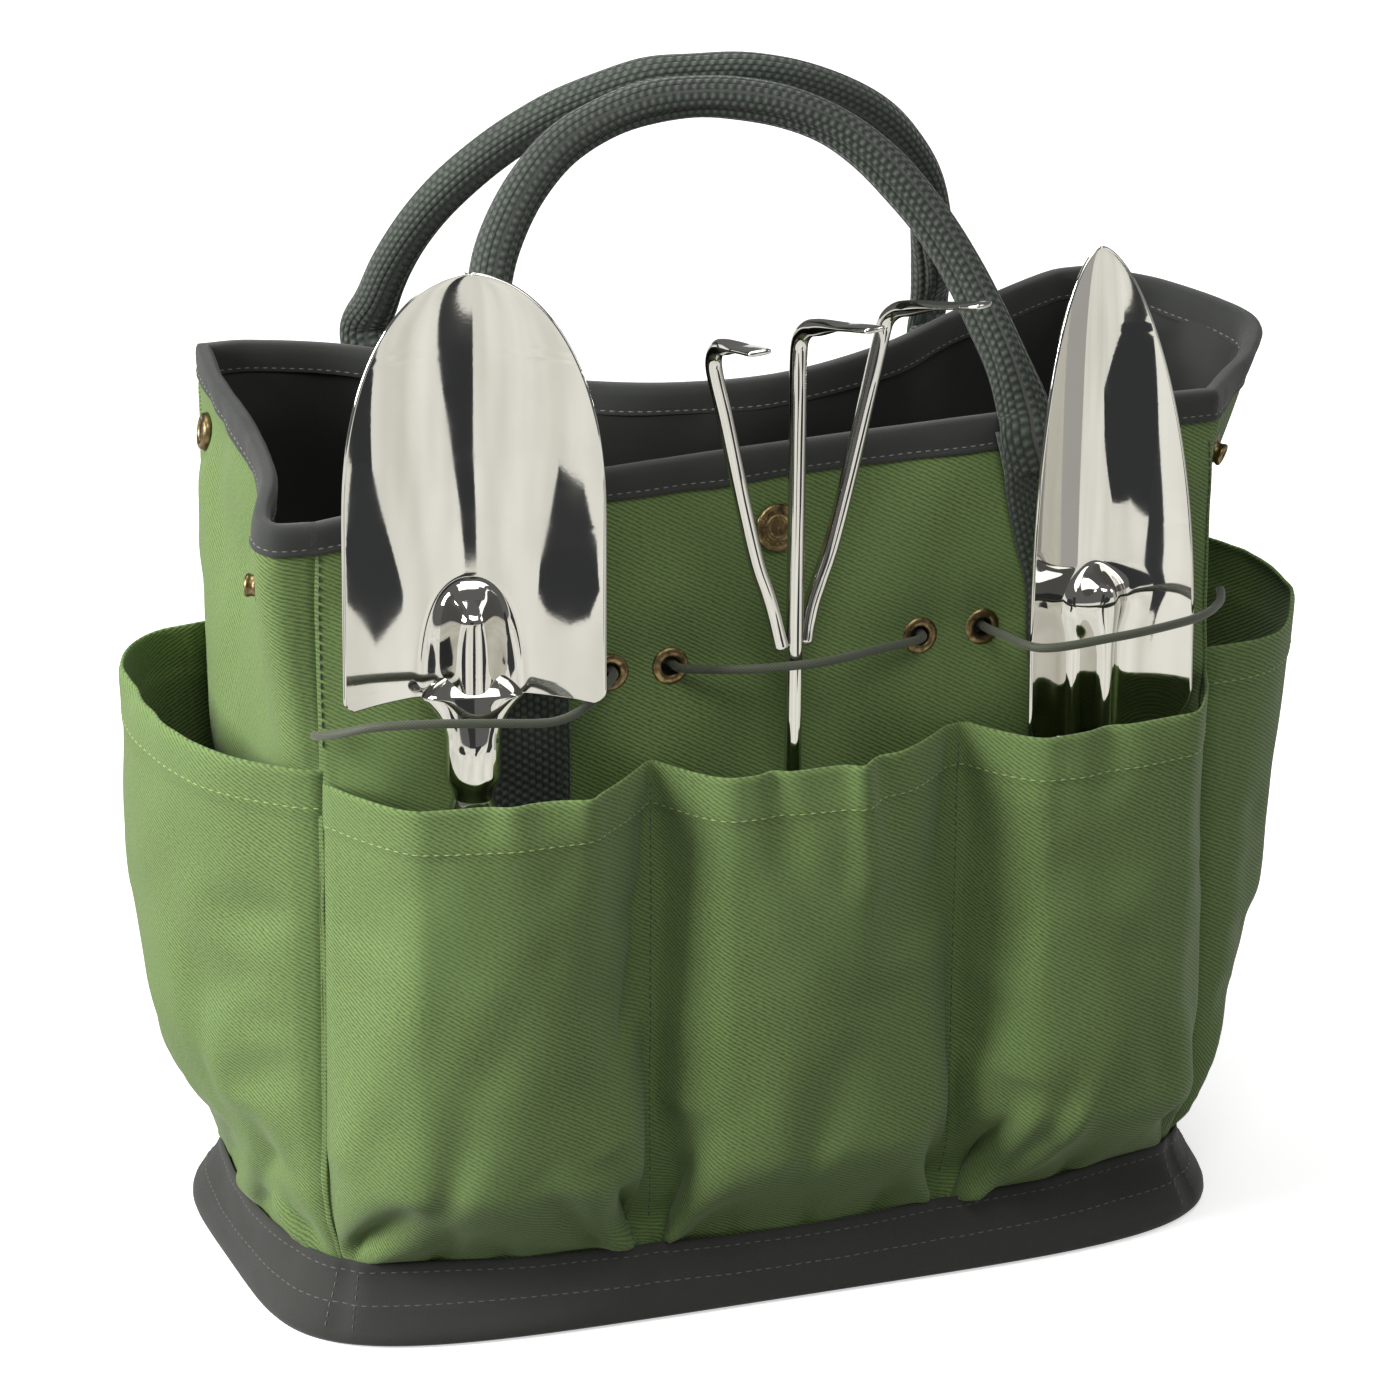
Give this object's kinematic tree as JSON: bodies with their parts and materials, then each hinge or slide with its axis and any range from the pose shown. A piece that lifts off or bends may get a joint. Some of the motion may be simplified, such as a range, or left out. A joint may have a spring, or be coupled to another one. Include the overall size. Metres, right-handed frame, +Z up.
{
  "type": "garden tool bag",
  "caption": "Open-top canvas garden tote with outside pockets, webbing handles and an elastic retainer holding a trowel, a cultivator and a transplanter.",
  "frame": {"origin": "centre of the flat base, on the surface it stands on", "axes": "+Z up; the front, where the hand tools are held, faces -Y; +X to the right seen from the front"},
  "size_m": [0.3752, 0.2309, 0.3922],
  "materials": {
    "canvas": "twill canvas",
    "trim_fabric": "plain woven",
    "lining": "coated woven",
    "webbing": "ribbed webbing",
    "elastic": "braided",
    "brass": "antique",
    "steel": "mirror polished",
    "wood": "oiled",
    "board": "matt"
  },
  "bodies": {
    "bag": {"base_cover": "trim_fabric", "base_board": "board", "front_panel": "canvas", "back_panel": "canvas", "left_side_panel": "canvas", "right_side_panel": "canvas", "lining": "lining", "rim_binding": "trim_fabric", "front_pocket_strip": "canvas", "back_pocket_strip": "canvas", "left_pocket": "canvas", "right_pocket": "canvas", "front_handle_straps": "webbing", "back_handle_straps": "webbing", "front_eyelets": "brass", "eyelet_washers": "brass", "elastic_cord": "elastic", "closing_snap_cap": "brass", "closing_snap_stud": "brass", "closing_snap_socket": "brass", "closing_snap_back_cap": "brass", "gusset_snap_sockets": "brass", "gusset_snap_studs": "brass", "gusset_snap_posts": "brass"},
    "front_handle": {"front_handle": "webbing"},
    "back_handle": {"back_handle": "webbing"},
    "trowel": {"trowel_blade": "steel", "trowel_shank": "steel", "trowel_ferrule": "steel", "trowel_handle": "wood"},
    "cultivator": {"cultivator_shank": "steel", "cultivator_left_tine": "steel", "cultivator_right_tine": "steel", "cultivator_ferrule": "steel", "cultivator_handle": "wood"},
    "transplanter": {"transplanter_blade": "steel", "transplanter_shank": "steel", "transplanter_ferrule": "steel", "transplanter_handle": "wood"}
  },
  "joints": [
    {"name": "front_handle_swing", "type": "hinge", "parent": "bag", "child": "front_handle", "pos_m": [0, -0.0688, 0.288], "axis": [1, 0, 0], "range_deg": [0, 24]},
    {"name": "back_handle_swing", "type": "hinge", "parent": "bag", "child": "back_handle", "pos_m": [-0.001, 0.05775, 0.28875], "axis": [-0.9915, 0.1279, 0.0235], "range_deg": [0, 120]},
    {"name": "trowel_lift", "type": "slide", "parent": "bag", "child": "trowel", "axis": [0, 0, 1], "range_m": [0, 0.24], "deforming": ["elastic_cord"]},
    {"name": "cultivator_lift", "type": "slide", "parent": "bag", "child": "cultivator", "axis": [0, 0, 1], "range_m": [0, 0.24], "deforming": ["elastic_cord"]},
    {"name": "transplanter_lift", "type": "slide", "parent": "bag", "child": "transplanter", "axis": [0, 0, 1], "range_m": [0, 0.24], "deforming": ["elastic_cord"]}
  ]
}
